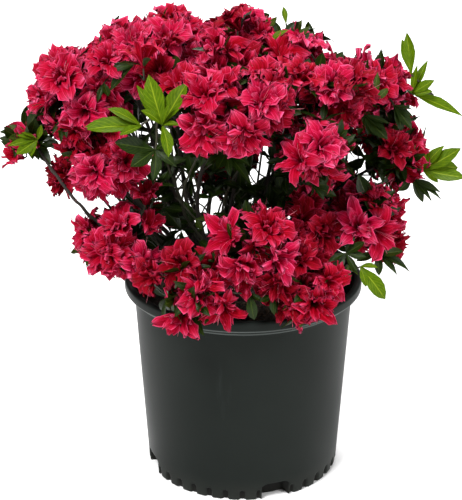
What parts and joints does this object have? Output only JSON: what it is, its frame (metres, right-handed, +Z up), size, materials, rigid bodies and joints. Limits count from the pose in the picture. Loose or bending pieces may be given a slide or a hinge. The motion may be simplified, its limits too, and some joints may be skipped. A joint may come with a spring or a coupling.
{
  "type": "azalea shrub in a nursery pot",
  "caption": "Flowering azalea shrub with ruffled crimson-rose blooms, dark and fresh green leaves and bare lower stems, in a dark plastic nursery pot with drain notches.",
  "frame": {"origin": "middle of the pot's flat underside, on the surface that the pot stands on", "axes": "+Z up along the pot's axis, -Y towards the front of the plant, +X to the right seen from the front"},
  "size_m": [0.52, 0.3563, 0.562],
  "materials": {
    "pot_plastic": "satin black-green polypropylene, lightly scuffed",
    "potting_mix": "moist peat and composted bark",
    "bark": "thin dark brown bark with fine furrows",
    "blossom": "ruffled crimson-rose petals",
    "leaves": "small leathery dark green leaves",
    "fresh_leaves": "soft yellow-green new leaves"
  },
  "bodies": {
    "root": {"pot": "pot_plastic", "root_ball": "potting_mix", "stem_base": "bark", "stem_left": "bark", "stem_left_shoulder": "bark", "stem_upper_left": "bark", "stem_top_left": "bark", "stem_centre_front": "bark", "stem_top_mid": "bark", "stem_centre_right": "bark", "stem_top_right": "bark", "stem_right_shoulder": "bark", "stem_far_right": "bark", "stem_low_right": "bark", "stem_low_left": "bark", "stem_low_front_left": "bark", "stem_low_centre": "bark", "stem_low_front_right": "bark", "stem_back_left": "bark", "stem_back_mid": "bark", "stem_back_right": "bark", "stem_low_back_left": "bark", "stem_low_back_mid": "bark", "bough_far_right_mid": "bark", "bough_right_mid": "bark", "bough_back_left_side": "bark", "bough_back_right_side": "bark", "bough_back_right_low": "bark", "arching_branch": "bark", "left_shoulder": "blossom", "left_low": "blossom", "left_tip": "blossom", "upper_left": "blossom", "top_left": "blossom", "top_mid": "blossom", "top_right": "blossom", "centre_front": "blossom", "centre_right_front": "blossom", "right_shoulder": "blossom", "right_mid": "blossom", "far_right_top": "blossom", "far_right_mid": "blossom", "low_left": "blossom", "low_front_left": "blossom", "low_centre": "blossom", "low_front_right": "blossom", "low_right_back": "blossom", "low_right": "blossom", "inner_leaves_left": "leaves", "inner_leaves_right": "leaves", "fresh_shoot_left": "fresh_leaves", "fresh_shoot_right": "fresh_leaves", "back_left_top": "blossom", "back_mid_top": "blossom", "back_right_top": "blossom", "back_mid_low": "blossom", "back_left_side": "blossom", "back_right_side": "blossom", "back_right_low": "blossom", "back_left_low": "blossom"}
  },
  "joints": []
}
